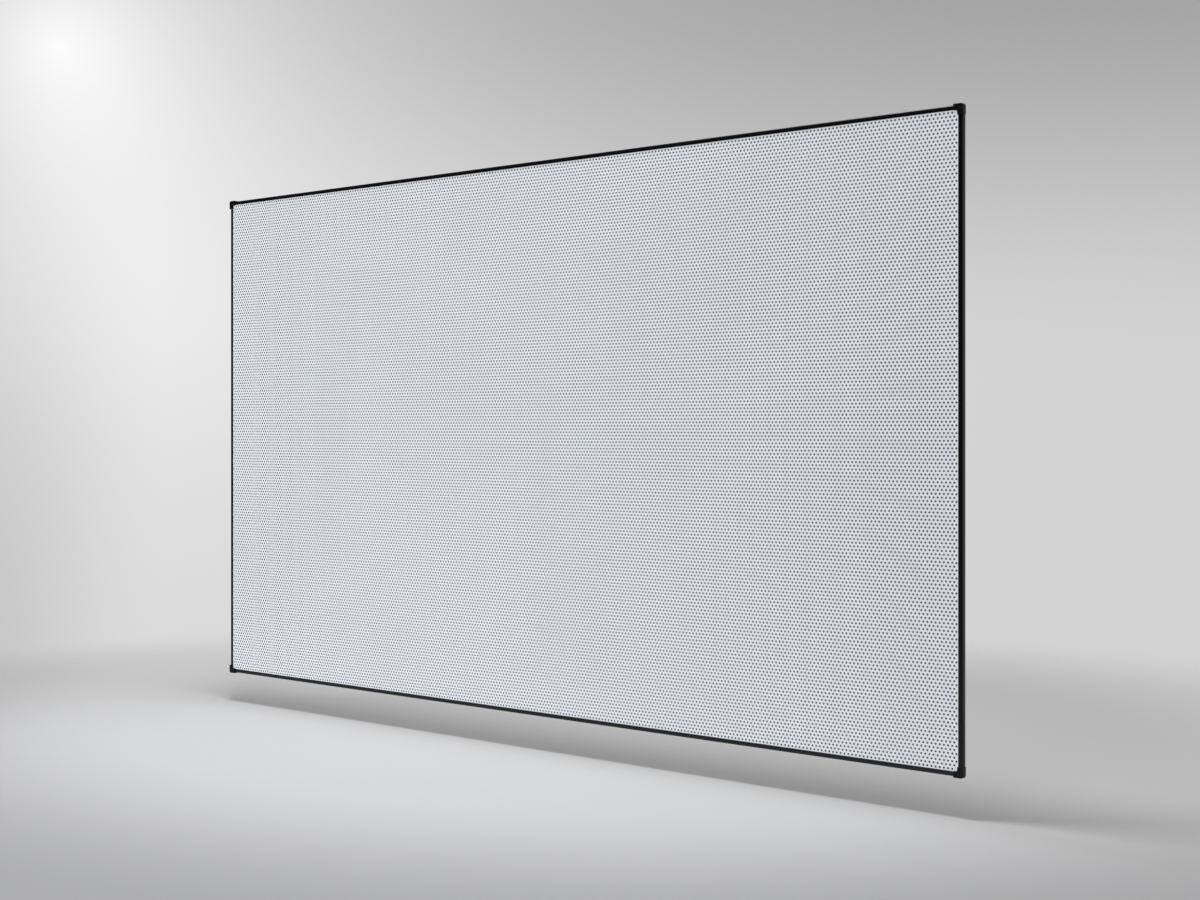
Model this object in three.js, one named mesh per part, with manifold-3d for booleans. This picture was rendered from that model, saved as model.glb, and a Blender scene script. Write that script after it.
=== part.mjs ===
// Fixed frame projector screen: a perforated sheet stretched over a thin aluminium frame.
// Millimetres, +Z up. The viewing side faces -Y and the wall is towards +Y.
// The origin is the centre of the whole screen's box, wall brackets and bumpers included.
//
// Sections are drawn in two numbers: u is the distance inwards from the trim's outer edge, and
// d is the depth behind the trim's front. Every edge is drawn as the top edge and then turned.

import * as THREE from "three";
import { mergeVertices } from "three/addons/utils/BufferGeometryUtils.js";
import Module from "manifold-3d";

const wasm = await Module();
wasm.setup();

// Fits
const FIT = 0.3; // gap between pieces that rest on each other
const CUT_OVERRUN = 1; // how far a cutting body runs past what it cuts

// Picture area and bezel trim
const VIEW_WIDTH = 2214;
const VIEW_HEIGHT = 1245.4;
const BEZEL_FACE = 9.5;
const BEZEL_DEPTH = 12;
const BEZEL_LIP = 1.3;
const BEZEL_WALL = 1.5;
const BEZEL_ROUND = 3;
const BEZEL_OUTER_BAND = 5;
const BEZEL_STEP = 0.5;
const BEZEL_SIDE_BAND = 7.2;
const BEZEL_HOOK = 1;
const BEZEL_HOOK_REACH = 5.5;
const ROUND_STEPS = 5;

// Corner caps
const CAP_PROUD = 2;
const CAP_WALL = 1.7;
const CAP_LEG = 19;
const CAP_DEPTH = 9.5;
const CAP_ROUND = 5;
const CAP_INNER_LIP = 0.6;
const CAP_INNER_CHAMFER = 2.4;

// Sheet, backing cloth and tension rods
const SHEET = 0.5;
const CLOTH = 0.4;
const CLOTH_SETBACK = 0.9;
const ROD_RADIUS = 1.75;
const ROD_SIDES = 10;
const HEM_SLACK = 0.35;
const HEM_TO_NOSE = 3.7;
const HEM_CORNER_NOTCH = 30;
const ROD_SHORTER = 4;
const HEM_SLOT = 8;

// Springs
const SPRING_PITCH = 150;
const SPRING_RADIUS = 1.6;
const SPRING_BODY = 13;
const SPRING_SIDES = 6;
const SPRING_WIRE = 1;
const SPRING_HOOK = 4;
const SPRING_SINK = 1.1;
const SPRING_TO_BRACKET = 20;
const SPRING_HOLE_SLACK = 0.6;

// Frame rails
const NOSE_WIDTH = 13.5;
const NOSE_WALL = 1.4;
const RAIL_WEB = 1.8;
const CHANNEL_WIDTH = 30;
const RIB = 2;
const FLANGE = 1.6;
const FLANGE_REACH = 8;

// Brackets, splice plates and their screws
const PLATE = 2;
const PLATE_WIDTH = 16;
const PLATE_TO_RIB = 1.5;
const BRACKET_LEG = 110;
const BRACKET_SCREW_FROM_END = 12;
const BRACKET_SCREW_SPACING = 36;
const BRACKET_CORNER_CUT = 5;
const SPLICE_LENGTH = 120;
const SPLICE_SCREW_FROM_END = 26;
const SCREW_RADIUS = 2;
const SCREW_HEAD_RADIUS = 3.6;
const SCREW_HEAD = 1.9;
const SCREW_SIDES = 10;

// Support bar and its end shoes
const BAR_WIDTH = 30;
const BAR_DEPTH = 10;
const BAR_WALL = 1.5;
const SHOE_LEG = 2.2;
const SHOE_PLUG = 26;
const SHOE_SHELF = 3;
const SHOE_SCREW = 13;

// Wall brackets and bumpers
const WALL_GAP = 24;
const BRACKET_WIDTH = 60;
const BRACKET_RISE = 34;
const BRACKET_HOLE_RADIUS = 2.6;
const BRACKET_HOLE_SPACING = 36;
const BRACKET_TONGUE = 2.1;
const BUMPER_WIDTH = 26;
const BUMPER_HEIGHT = 16;
const BUMPER_FOOT = 2.4;
const WALL_PIECE_FROM_MIDDLE = 600; // the wanted distance, moved to the nearest gap between springs

// Places that follow from the sizes above
const WIDTH = VIEW_WIDTH + 2 * BEZEL_FACE;
const HEIGHT = VIEW_HEIGHT + 2 * BEZEL_FACE;
const SHEET_D = BEZEL_LIP + FIT;
const CLOTH_D = SHEET_D + SHEET + FIT;
const RAIL_D = CLOTH_D + CLOTH + FIT;
const HOOK_D = BEZEL_DEPTH - BEZEL_HOOK;
const RETURN_D = HOOK_D - FIT - SHEET;
const RAIL_BACK_D = RETURN_D - FIT;
const SHEET_U = BEZEL_WALL + FIT;
const NOSE_U = SHEET_U + SHEET + FIT;
const CHANNEL_U = NOSE_U + NOSE_WIDTH;
const RIB_U = CHANNEL_U + CHANNEL_WIDTH;
const POCKET_U = RIB_U + RIB;
const FLANGE_END_U = POCKET_U + FLANGE_REACH;
const FLANGE_D = RAIL_BACK_D - FLANGE;
const WEB_BACK_D = RAIL_D + RAIL_WEB;
const HEM_INNER_RADIUS = ROD_RADIUS + HEM_SLACK;
const HEM_RADIUS = HEM_INNER_RADIUS + SHEET;
const ROD_U = CHANNEL_U + HEM_TO_NOSE + HEM_RADIUS;
const ROD_D = RETURN_D + SHEET - HEM_RADIUS;
const SPRING_D = ROD_D - SPRING_SINK;
const FOLD_D = SHEET_D + SHEET + FIT;
const PLATE_D = WEB_BACK_D + FIT;
const PLATE_U = RIB_U - PLATE_TO_RIB - PLATE_WIDTH;
const PLATE_MID_U = PLATE_U + PLATE_WIDTH / 2;
const BEHIND_FLANGE_D = RAIL_BACK_D + FIT;
const LEG_BACK_D = FLANGE_D - FIT;
const SHELF_U = FLANGE_END_U + FIT;
const CAP_KEY_U = BEZEL_FACE + FIT + CAP_INNER_LIP / 2;
const CENTRE_D = (WALL_GAP - CAP_PROUD) / 2;

const SIDES = ["top", "right", "bottom", "left"];
const CORNERS = ["top_right", "bottom_right", "bottom_left", "top_left"];

function finish(color, roughness, metalness) {
  return new THREE.MeshStandardMaterial({ color, roughness, metalness });
}

const anodised = () => finish(0x17181a, 0.42, 0.85);
const railBlack = () => finish(0x1d1e20, 0.5, 0.8);
const capPlastic = () => finish(0x0b0b0c, 0.48, 0);
const sheetVinyl = () => finish(0xe4e8ee, 0.62, 0);
const blackCloth = () => finish(0x0a0a0b, 0.95, 0);
const glassFibre = () => finish(0xd9d4bf, 0.5, 0);
const zincSteel = () => finish(0xa9abad, 0.38, 1);
const blackSteel = () => finish(0x26282a, 0.45, 0.9);
const nylon = () => finish(0x141415, 0.55, 0);
const rubber = () => finish(0x1a1a1a, 0.85, 0);

// Solids are joined and cut as closed bodies, and come back as plain meshes.
function solid(geometry) {
  const bare = geometry.clone();
  bare.deleteAttribute("normal");
  bare.deleteAttribute("uv");
  const merged = mergeVertices(bare, 1e-4);
  const vertProperties = new Float32Array(merged.attributes.position.array);
  const triVerts = new Uint32Array(merged.index.array);
  return new wasm.Manifold(new wasm.Mesh({ numProp: 3, vertProperties, triVerts }));
}

function surface(body) {
  const mesh = body.getMesh();
  const geometry = new THREE.BufferGeometry();
  geometry.setAttribute("position", new THREE.BufferAttribute(mesh.vertProperties, 3));
  geometry.setIndex(new THREE.BufferAttribute(mesh.triVerts, 1));
  geometry.computeVertexNormals();
  return geometry;
}

const joined = (bodies) => bodies.reduce((sum, body) => sum.add(body));
const cutBy = (body, cutters) => cutters.reduce((rest, cutter) => rest.subtract(cutter), body);

// A section in (u, d) runs from x = start to x = end along the top edge.
function along(section, start, end) {
  const geometry = new THREE.ExtrudeGeometry(section, { depth: end - start, bevelEnabled: false });
  const toEdge = new THREE.Matrix4().makeBasis(
    new THREE.Vector3(0, 0, -1),
    new THREE.Vector3(0, 1, 0),
    new THREE.Vector3(1, 0, 0),
  );
  return geometry.applyMatrix4(toEdge).translate(start, 0, 0);
}

function outline(points) {
  return new THREE.Shape(points.map(([u, d]) => new THREE.Vector2(u, d)));
}

function rectangle(u0, u1, d0, d1) {
  return outline([[u0, d0], [u1, d0], [u1, d1], [u0, d1]]);
}

function block(x0, x1, d0, d1, u0, u1) {
  const geometry = new THREE.BoxGeometry(x1 - x0, d1 - d0, u1 - u0);
  return geometry.translate((x0 + x1) / 2, (d0 + d1) / 2, -(u0 + u1) / 2);
}

// A round bar along the depth, at distance x along the edge and u inwards.
function pin(radius, d0, d1, x, u) {
  const geometry = new THREE.CylinderGeometry(radius, radius, d1 - d0, SCREW_SIDES);
  return geometry.translate(x, (d0 + d1) / 2, -u);
}

function arc(cu, cd, radius, fromDegrees, toDegrees, steps) {
  const points = [];
  for (let i = 0; i <= steps; i += 1) {
    const angle = THREE.MathUtils.degToRad(fromDegrees + ((toDegrees - fromDegrees) * i) / steps);
    points.push([cu + radius * Math.cos(angle), cd + radius * Math.sin(angle)]);
  }
  return points;
}

const edgeLength = (side) => (side === "top" || side === "bottom" ? WIDTH : HEIGHT);
const edgeOffset = (side) => (side === "top" || side === "bottom" ? HEIGHT : WIDTH) / 2;

function edgeGroup(side) {
  const turned = new THREE.Group();
  turned.rotation.y = (SIDES.indexOf(side) * Math.PI) / 2;
  const placed = new THREE.Group();
  placed.position.set(0, -CENTRE_D, edgeOffset(side));
  turned.add(placed);
  return { turned, placed };
}

// Springs stand at an even pitch on each clear run of a rail, so none meets a bracket or a splice.
function springStations(side) {
  const end = edgeLength(side) / 2 - BRACKET_LEG - SPRING_TO_BRACKET;
  const halves = side === "top" || side === "bottom";
  const start = halves ? SPLICE_LENGTH / 2 + SPRING_TO_BRACKET : -end;
  const bays = Math.max(1, Math.round((end - start) / SPRING_PITCH));
  const run = [];
  for (let i = 0; i <= bays; i += 1) {
    run.push(start + ((end - start) * i) / bays);
  }
  return halves ? [...run.map((x) => -x).reverse(), ...run] : run;
}

// Wall brackets and bumpers sit midway between two springs of the right half, and mirrored.
function wallPlace() {
  const right = springStations("top").filter((x) => x > 0);
  const middles = right.slice(1).map((x, i) => (x + right[i]) / 2);
  const miss = (x) => Math.abs(x - WALL_PIECE_FROM_MIDDLE);
  return middles.reduce((best, x) => (miss(x) < miss(best) ? x : best));
}

function bezelSection() {
  const wallBack = BEZEL_STEP;
  return outline([
    ...arc(BEZEL_ROUND, BEZEL_ROUND, BEZEL_ROUND, 180, 270, ROUND_STEPS),
    [BEZEL_OUTER_BAND, 0],
    [BEZEL_OUTER_BAND, BEZEL_STEP],
    [BEZEL_FACE, BEZEL_STEP],
    [BEZEL_FACE, BEZEL_LIP],
    [BEZEL_WALL, BEZEL_LIP],
    [BEZEL_WALL, HOOK_D],
    [BEZEL_HOOK_REACH, HOOK_D],
    [BEZEL_HOOK_REACH, BEZEL_DEPTH],
    [wallBack, BEZEL_DEPTH],
    [wallBack, BEZEL_SIDE_BAND],
    [0, BEZEL_SIDE_BAND],
  ]);
}

function bezelTrim(side) {
  const reach = edgeLength(side) / 2 - CAP_KEY_U - FIT;
  return along(bezelSection(), -reach, reach);
}

// The cap is drawn at the top right corner: a runs inwards along the top, b down the side.
function cornerOutline(near, far, leg, round, chamfer) {
  const rounded = arc(near + round, near + round, round, 180, 270, ROUND_STEPS);
  const points = round > 0 ? rounded : [[near, near]];
  points.push([leg, near], [leg, far], [far + chamfer, far], [far, far + chamfer], [far, leg], [near, leg]);
  return outline(points);
}

function cornerPrism(shape, d0, d1) {
  const geometry = new THREE.ExtrudeGeometry(shape, { depth: d1 - d0, bevelEnabled: false });
  const toCorner = new THREE.Matrix4().makeBasis(
    new THREE.Vector3(-1, 0, 0),
    new THREE.Vector3(0, 0, -1),
    new THREE.Vector3(0, -1, 0),
  );
  return solid(geometry.applyMatrix4(toCorner).translate(0, d1, 0));
}

function cornerCap() {
  const lipNear = BEZEL_FACE + FIT;
  const lipFar = lipNear + CAP_INNER_LIP;
  const face = cornerOutline(-CAP_PROUD, lipFar, CAP_LEG, CAP_ROUND, CAP_INNER_CHAMFER);
  const wallFar = CAP_WALL - CAP_PROUD;
  const wall = cornerOutline(-CAP_PROUD, wallFar, CAP_LEG, CAP_ROUND, CAP_ROUND - CAP_WALL);
  const lip = cornerOutline(lipNear, lipFar, CAP_LEG, 0, CAP_INNER_CHAMFER);
  const key = rectangle(wallFar, CAP_KEY_U, wallFar, CAP_KEY_U);
  return surface(joined([
    cornerPrism(face, -CAP_PROUD, CAP_WALL - CAP_PROUD),
    cornerPrism(wall, -CAP_PROUD, CAP_DEPTH),
    cornerPrism(lip, -CAP_PROUD, BEZEL_LIP),
    cornerPrism(key, -CAP_PROUD, BEZEL_LIP),
  ]));
}

function railSection() {
  const section = outline([
    [NOSE_U, RAIL_D],
    [POCKET_U, RAIL_D],
    [POCKET_U, FLANGE_D],
    [FLANGE_END_U, FLANGE_D],
    [FLANGE_END_U, RAIL_BACK_D],
    [RIB_U, RAIL_BACK_D],
    [RIB_U, WEB_BACK_D],
    [CHANNEL_U, WEB_BACK_D],
    [CHANNEL_U, RAIL_BACK_D],
    [NOSE_U, RAIL_BACK_D],
  ]);
  const hollow = new THREE.Path();
  hollow.moveTo(NOSE_U + NOSE_WALL, RAIL_D + NOSE_WALL);
  hollow.lineTo(NOSE_U + NOSE_WALL, RAIL_BACK_D - NOSE_WALL);
  hollow.lineTo(CHANNEL_U - NOSE_WALL, RAIL_BACK_D - NOSE_WALL);
  hollow.lineTo(CHANNEL_U - NOSE_WALL, RAIL_D + NOSE_WALL);
  hollow.closePath();
  section.holes.push(hollow);
  return section;
}

// A rail's end is cut at 45 degrees where it meets a corner, and square at a splice.
function mitre(geometry, start, end, length) {
  const back = (FIT * Math.SQRT2) / 2;
  const position = geometry.attributes.position;
  for (let i = 0; i < position.count; i += 1) {
    const x = position.getX(i);
    const u = -position.getZ(i);
    const corner = length / 2 - u - back;
    if (Math.abs(x - end) < FIT && end > length / 2 - FIT) position.setX(i, corner);
    if (Math.abs(x - start) < FIT && start < FIT - length / 2) position.setX(i, -corner);
  }
  return geometry;
}

const screwHole = (x, u) => solid(
  pin(SCREW_RADIUS + FIT, RAIL_D - CUT_OVERRUN, PLATE_D + PLATE + CUT_OVERRUN, x, u),
);

function springHole(x) {
  const half = SPRING_WIRE / 2 + SPRING_HOLE_SLACK;
  return solid(block(
    x - half, x + half, SPRING_D - half, SPRING_D + half, RIB_U - CUT_OVERRUN, POCKET_U + CUT_OVERRUN,
  ));
}

const spliceScrewPlaces = () => [-1, 1].map((end) => end * (SPLICE_LENGTH / 2 - SPLICE_SCREW_FROM_END));

// Distances of a bracket's screws from the trim's corner, along each leg.
function bracketScrews() {
  const last = BRACKET_LEG - BRACKET_SCREW_FROM_END;
  return [last - BRACKET_SCREW_SPACING, last];
}

const bracketScrewPlaces = (side) => bracketScrews().map((leg) => edgeLength(side) / 2 - leg);

function rail(side, start, end) {
  const length = edgeLength(side);
  const body = solid(mitre(along(railSection(), start, end), start, end, length));
  const places = bracketScrewPlaces(side).flatMap((x) => [-x, x]);
  if (side === "top" || side === "bottom") places.push(...spliceScrewPlaces());
  const inside = (x) => x > start && x < end;
  const cutters = places.filter(inside).map((x) => screwHole(x, PLATE_MID_U));
  cutters.push(...springStations(side).filter(inside).map(springHole));
  return surface(cutBy(body, cutters));
}

function flapSection() {
  const rise = HEM_INNER_RADIUS / HEM_RADIUS;
  const meet = THREE.MathUtils.radToDeg(Math.asin(rise));
  const section = outline([
    [SHEET_U, FOLD_D],
    [SHEET_U + SHEET, FOLD_D],
    [SHEET_U + SHEET, RETURN_D],
    ...arc(ROD_U, ROD_D, HEM_RADIUS, 180 - meet, 450, ROD_SIDES),
    [SHEET_U, RETURN_D + SHEET],
  ]);
  const bore = new THREE.Path();
  const around = arc(ROD_U, ROD_D, HEM_INNER_RADIUS, 360, 0, ROD_SIDES).slice(0, -1);
  bore.moveTo(...around[0]);
  around.slice(1).forEach((point) => bore.lineTo(...point));
  bore.closePath();
  section.holes.push(bore);
  return section;
}

function hemSlot(x) {
  const low = ROD_D - HEM_RADIUS - CUT_OVERRUN;
  const high = RETURN_D + SHEET + CUT_OVERRUN;
  return solid(block(
    x - HEM_SLOT / 2, x + HEM_SLOT / 2, low, high, ROD_U - HEM_SLACK, ROD_U + HEM_RADIUS + CUT_OVERRUN,
  ));
}

// A flap goes round the rail and ends in a hem with a rod inside. The real sheet and its flaps are one
// piece; they are separate here so that nothing closes off the free room behind the picture.
function sheetFlap(side) {
  const reach = edgeLength(side) / 2 - HEM_CORNER_NOTCH;
  const body = solid(along(flapSection(), -reach, reach));
  return surface(cutBy(body, springStations(side).map(hemSlot)));
}

function projectionSheet() {
  const face = new THREE.BoxGeometry(WIDTH - 2 * SHEET_U, SHEET, HEIGHT - 2 * SHEET_U);
  return face.translate(0, SHEET_D + SHEET / 2 - CENTRE_D, 0);
}

function backingCloth() {
  const inset = 2 * (NOSE_U + CLOTH_SETBACK);
  const cloth = new THREE.BoxGeometry(WIDTH - inset, CLOTH, HEIGHT - inset);
  return cloth.translate(0, CLOTH_D + CLOTH / 2 - CENTRE_D, 0);
}

// A spring is drawn as its outer form: a barrel on a wire that hooks behind the rib.
function springForm(x) {
  const wire = SPRING_WIRE / 2;
  const hookU = POCKET_U + FIT;
  const barrel = new THREE.CylinderGeometry(SPRING_RADIUS, SPRING_RADIUS, SPRING_BODY, SPRING_SIDES);
  barrel.rotateX(Math.PI / 2);
  const middle = (ROD_U + RIB_U) / 2 + FIT;
  barrel.translate(x, SPRING_D, -middle);
  const hook = [x - SPRING_HOOK / 2, x + SPRING_HOOK / 2, SPRING_D - wire, SPRING_D + wire];
  return joined([
    solid(block(x - wire, x + wire, SPRING_D - wire, SPRING_D + wire, ROD_U, hookU + wire)),
    solid(barrel),
    solid(block(...hook, hookU, hookU + SPRING_WIRE)),
  ]);
}

function tensionRod(side) {
  const length = edgeLength(side) - 2 * HEM_CORNER_NOTCH - 2 * ROD_SHORTER;
  const rod = new THREE.CylinderGeometry(ROD_RADIUS, ROD_RADIUS, length, ROD_SIDES);
  rod.rotateZ(Math.PI / 2);
  rod.translate(0, ROD_D, -ROD_U);
  return surface(joined([solid(rod), ...springStations(side).map(springForm)]));
}

function cornerBracket() {
  const near = PLATE_U;
  const far = PLATE_U + PLATE_WIDTH;
  const shape = outline([
    [near + BRACKET_CORNER_CUT, near],
    [BRACKET_LEG, near],
    [BRACKET_LEG, far],
    [far, far],
    [far, BRACKET_LEG],
    [near, BRACKET_LEG],
    [near, near + BRACKET_CORNER_CUT],
  ]);
  const holes = bracketScrews().flatMap((leg) => [
    screwHole(-leg, PLATE_MID_U),
    screwHole(-PLATE_MID_U, leg),
  ]);
  return surface(cutBy(cornerPrism(shape, PLATE_D, PLATE_D + PLATE), holes));
}

function splicePlate() {
  const half = SPLICE_LENGTH / 2;
  const plate = block(-half, half, PLATE_D, PLATE_D + PLATE, PLATE_U, PLATE_U + PLATE_WIDTH);
  const holes = spliceScrewPlaces().map((x) => screwHole(x, PLATE_MID_U));
  return surface(cutBy(solid(plate), holes));
}

// A machine screw; seat is the depth of the face under its head.
function screw(seat, tip, x, u) {
  const head = pin(SCREW_HEAD_RADIUS, seat, seat + SCREW_HEAD, x, u);
  const shank = pin(SCREW_RADIUS, tip, seat + SCREW_HEAD / 2, x, u);
  return surface(solid(head).add(solid(shank)));
}

const plateScrew = (x) => screw(PLATE_D + PLATE + FIT, RAIL_D + FIT, x, PLATE_MID_U);

const barStartU = () => SHELF_U + SHOE_SHELF + FIT;
const barBackD = () => BEHIND_FLANGE_D + BAR_DEPTH;
const shoeScrewU = () => barStartU() + SHOE_SCREW;

function shoeHole(tip) {
  return solid(pin(SCREW_RADIUS + FIT, tip, barBackD() + CUT_OVERRUN, 0, shoeScrewU()));
}

function supportBar() {
  const length = HEIGHT - 2 * barStartU();
  const half = length / 2;
  const mid = BEHIND_FLANGE_D + BAR_DEPTH / 2;
  const tube = new THREE.BoxGeometry(BAR_WIDTH, BAR_DEPTH, length).translate(0, mid, 0);
  const inner = [BAR_WIDTH - 2 * BAR_WALL, BAR_DEPTH - 2 * BAR_WALL, length + 2 * CUT_OVERRUN];
  const bore = new THREE.BoxGeometry(...inner).translate(0, mid, 0);
  const holes = [1, -1].map((end) => {
    const z = end * (half - SHOE_SCREW);
    const hole = new THREE.CylinderGeometry(SCREW_RADIUS + FIT, SCREW_RADIUS + FIT, BAR_WALL * 3, SCREW_SIDES);
    return solid(hole.translate(0, barBackD(), z));
  });
  return surface(cutBy(solid(tube), [solid(bore), ...holes])).translate(0, -CENTRE_D, 0);
}

function supportShoe() {
  const frontD = LEG_BACK_D - SHOE_LEG;
  const clip = outline([
    [POCKET_U + FIT, frontD],
    [SHELF_U + SHOE_SHELF, frontD],
    [SHELF_U + SHOE_SHELF, barBackD()],
    [SHELF_U, barBackD()],
    [SHELF_U, LEG_BACK_D],
    [POCKET_U + FIT, LEG_BACK_D],
  ]);
  const slack = BAR_WALL + FIT;
  const plug = rectangle(
    SHELF_U + SHOE_SHELF / 2, SHELF_U + SHOE_SHELF + SHOE_PLUG, BEHIND_FLANGE_D + slack, barBackD() - slack,
  );
  const plugHalf = BAR_WIDTH / 2 - slack;
  return surface(joined([
    solid(along(clip, -BAR_WIDTH / 2, BAR_WIDTH / 2)),
    solid(along(plug, -plugHalf, plugHalf)),
  ]).subtract(shoeHole(BEHIND_FLANGE_D)));
}

const shoeScrew = () => screw(barBackD() + FIT, BEHIND_FLANGE_D + BAR_WALL + 2 * FIT, 0, shoeScrewU());

// The wall bracket is a bent plate: a tongue under the rib, a shelf, and a plate on the wall.
function wallBracket(x) {
  const tongueFront = LEG_BACK_D - BRACKET_TONGUE;
  const shelfFar = SHELF_U + PLATE;
  const section = outline([
    [POCKET_U + FIT, tongueFront],
    [shelfFar, tongueFront],
    [shelfFar, WALL_GAP],
    [shelfFar - BRACKET_RISE, WALL_GAP],
    [shelfFar - BRACKET_RISE, WALL_GAP - PLATE],
    [SHELF_U, WALL_GAP - PLATE],
    [SHELF_U, LEG_BACK_D],
    [POCKET_U + FIT, LEG_BACK_D],
  ]);
  const half = BRACKET_WIDTH / 2;
  const holeU = shelfFar - BRACKET_RISE / 2;
  const holes = [-1, 1].map((end) => solid(pin(
    BRACKET_HOLE_RADIUS,
    WALL_GAP - PLATE - CUT_OVERRUN,
    WALL_GAP + CUT_OVERRUN,
    x + (end * BRACKET_HOLE_SPACING) / 2,
    holeU,
  )));
  return surface(cutBy(solid(along(section, x - half, x + half)), holes));
}

function wallBumper(x) {
  const frontD = LEG_BACK_D - SHOE_LEG;
  const far = SHELF_U + BUMPER_FOOT;
  const section = outline([
    [POCKET_U + FIT, frontD],
    [far, frontD],
    [far, WALL_GAP],
    [far - BUMPER_HEIGHT, WALL_GAP],
    [far - BUMPER_HEIGHT, BEHIND_FLANGE_D],
    [SHELF_U, BEHIND_FLANGE_D],
    [SHELF_U, LEG_BACK_D],
    [POCKET_U + FIT, LEG_BACK_D],
  ]);
  return along(section, x - BUMPER_WIDTH / 2, x + BUMPER_WIDTH / 2);
}

const screen = new THREE.Group();

function place(parent, name, geometry, material) {
  const mesh = new THREE.Mesh(geometry, material);
  mesh.name = name;
  parent.add(mesh);
}

function addEdge(side) {
  const { turned, placed } = edgeGroup(side);
  const half = edgeLength(side) / 2;
  place(placed, `bezel_${side}`, bezelTrim(side), anodised());
  place(placed, `sheet_flap_${side}`, sheetFlap(side), sheetVinyl());
  place(placed, `tension_rod_${side}`, tensionRod(side), glassFibre());
  if (side === "top" || side === "bottom") {
    const right = side === "top" ? "right" : "left";
    const left = side === "top" ? "left" : "right";
    place(placed, `rail_${side}_${left}`, rail(side, -half, -FIT / 2), railBlack());
    place(placed, `rail_${side}_${right}`, rail(side, FIT / 2, half), railBlack());
    place(placed, `splice_plate_${side}`, splicePlate(), zincSteel());
    spliceScrewPlaces().forEach((x, i) => {
      place(placed, `splice_screw_${side}_${i + 1}`, plateScrew(x), blackSteel());
    });
    place(placed, `support_shoe_${side}`, supportShoe(), nylon());
    place(placed, `support_screw_${side}`, shoeScrew(), blackSteel());
  } else {
    place(placed, `rail_${side}`, rail(side, -half, half), railBlack());
  }
  screen.add(turned);
}

function addCorner(corner, index) {
  const side = SIDES[index];
  const { turned, placed } = edgeGroup(side);
  const atCorner = new THREE.Group();
  atCorner.position.x = edgeLength(side) / 2;
  placed.add(atCorner);
  place(atCorner, `corner_cap_${corner}`, cornerCap(), capPlastic());
  place(atCorner, `corner_bracket_${corner}`, cornerBracket(), zincSteel());
  bracketScrews().forEach((leg, i) => {
    const depths = [PLATE_D + PLATE + FIT, RAIL_D + FIT];
    const first = 2 * i + 1;
    place(atCorner, `corner_screw_${corner}_${first}`, screw(...depths, -leg, PLATE_MID_U), blackSteel());
    place(atCorner, `corner_screw_${corner}_${first + 1}`, screw(...depths, -PLATE_MID_U, leg), blackSteel());
  });
  screen.add(turned);
}

function addWallPieces() {
  const x = wallPlace();
  const top = edgeGroup("top");
  place(top.placed, "wall_bracket_left", wallBracket(-x), blackSteel());
  place(top.placed, "wall_bracket_right", wallBracket(x), blackSteel());
  screen.add(top.turned);
  const bottom = edgeGroup("bottom");
  place(bottom.placed, "wall_bumper_right", wallBumper(-x), rubber());
  place(bottom.placed, "wall_bumper_left", wallBumper(x), rubber());
  screen.add(bottom.turned);
}

place(screen, "projection_sheet", projectionSheet(), sheetVinyl());
place(screen, "backing_cloth", backingCloth(), blackCloth());
SIDES.forEach(addEdge);
CORNERS.forEach(addCorner);
place(screen, "support_bar", supportBar(), railBlack());
addWallPieces();

export default screen;
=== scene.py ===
"""Dresses the fixed frame projector screen: finishes, the perforated sheet and the fittings behind it.

All lengths in the classes below are millimetres and become metres where a mesh is made. Sections use
two numbers, as a maker would draw them: u runs inwards from the trim's outer edge, and d runs back from
the trim's front. Every edge is drawn as the top edge and is then turned to its side.
"""

from __future__ import annotations

import logging
import math
from dataclasses import dataclass
from enum import Enum

import bmesh
import bpy
from mathutils import Matrix, Vector


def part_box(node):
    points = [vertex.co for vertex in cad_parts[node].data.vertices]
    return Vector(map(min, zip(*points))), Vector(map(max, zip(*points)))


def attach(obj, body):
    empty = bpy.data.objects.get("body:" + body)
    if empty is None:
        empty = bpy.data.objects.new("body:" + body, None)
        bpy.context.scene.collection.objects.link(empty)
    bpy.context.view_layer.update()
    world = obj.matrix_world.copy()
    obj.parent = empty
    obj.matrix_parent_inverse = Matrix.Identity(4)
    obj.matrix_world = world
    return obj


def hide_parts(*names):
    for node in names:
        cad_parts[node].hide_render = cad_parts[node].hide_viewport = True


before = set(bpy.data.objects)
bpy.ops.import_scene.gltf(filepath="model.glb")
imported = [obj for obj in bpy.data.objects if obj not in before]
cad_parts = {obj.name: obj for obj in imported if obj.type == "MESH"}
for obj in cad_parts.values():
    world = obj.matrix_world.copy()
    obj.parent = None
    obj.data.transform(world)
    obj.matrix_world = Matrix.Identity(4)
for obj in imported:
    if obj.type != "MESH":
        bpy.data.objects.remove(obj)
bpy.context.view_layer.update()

Material, Piece = bpy.types.Material, bpy.types.Object
Node, Socket, Tree = bpy.types.Node, bpy.types.NodeSocket, bpy.types.NodeTree
Loop = list[tuple[float, float]]

MM = 0.001

# Points this near each other, in metres, become one
WELD_GAP = 1e-6
DOUBLES_GAP = 1e-7

LOG = logging.getLogger("projector_screen")


class Side(Enum):
    """The four sides of the screen, with the quarter turns that carry the top edge to each."""

    TOP = 0
    RIGHT = 1
    BOTTOM = 2
    LEFT = 3

    @property
    def word(self) -> str:
        """The side's name as the CAD nodes spell it."""
        return self.name.lower()

    @property
    def level(self) -> bool:
        """True for the top and the bottom, which run along the width."""
        return self in (Side.TOP, Side.BOTTOM)


# Nodes


def linear(hex_colour: str) -> tuple[float, float, float, float]:
    """Turns an sRGB hex colour into linear light.

    Args:
        hex_colour: Six hexadecimal digits, such as "e6e9ee".

    Returns:
        Red, green, blue and an alpha of 1.
    """
    parts = [int(hex_colour[i : i + 2], 16) / 255 for i in (0, 2, 4)]
    lit = [p / 12.92 if p <= 0.04045 else ((p + 0.055) / 1.055) ** 2.4 for p in parts]
    return lit[0], lit[1], lit[2], 1.0


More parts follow.
